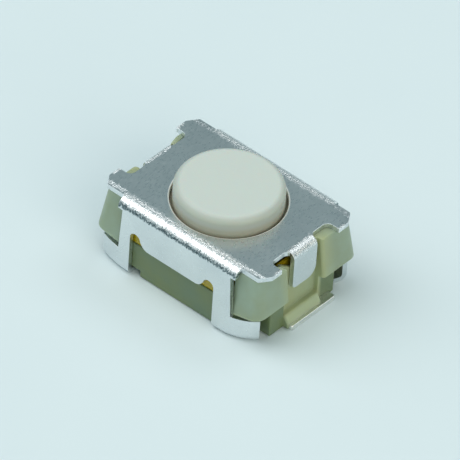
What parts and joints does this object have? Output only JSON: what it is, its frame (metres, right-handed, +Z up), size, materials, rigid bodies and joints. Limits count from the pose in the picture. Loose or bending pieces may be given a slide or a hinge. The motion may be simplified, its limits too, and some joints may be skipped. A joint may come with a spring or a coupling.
{
  "type": "tactile push button switch",
  "caption": "Miniature surface-mount tactile switch: a low round button in a folded metal cover over a moulded base, with flat end terminals.",
  "frame": {"origin": "on the circuit board's surface, straight under the centre of the button", "axes": "+X along the body towards the right-hand terminal, +Y across it towards the back skirt, +Z up out of the board along the button's axis"},
  "size_m": [0.004, 0.0028, 0.002],
  "materials": {
    "base_plastic": "translucent grey-green moulded plastic",
    "contact_metal": "silver-plated sheet",
    "dome_steel": "spring steel",
    "film": "clear amber film",
    "button_plastic": "ivory grey moulded plastic",
    "cover_steel": "satin rolled sheet"
  },
  "bodies": {
    "housing": {"base_housing": "base_plastic", "metal_cover": "cover_steel", "sealing_film": "film", "snap_dome": "dome_steel", "centre_contact": "contact_metal", "outer_contact": "contact_metal"},
    "button": {"button": "button_plastic"}
  },
  "joints": [
    {"name": "button_press", "type": "slide", "parent": "housing", "child": "button", "axis": [0, 0, -1], "range_m": [0, 0.0002], "stiffness_N_per_m": 8000, "deforming": ["snap_dome", "sealing_film"]}
  ]
}
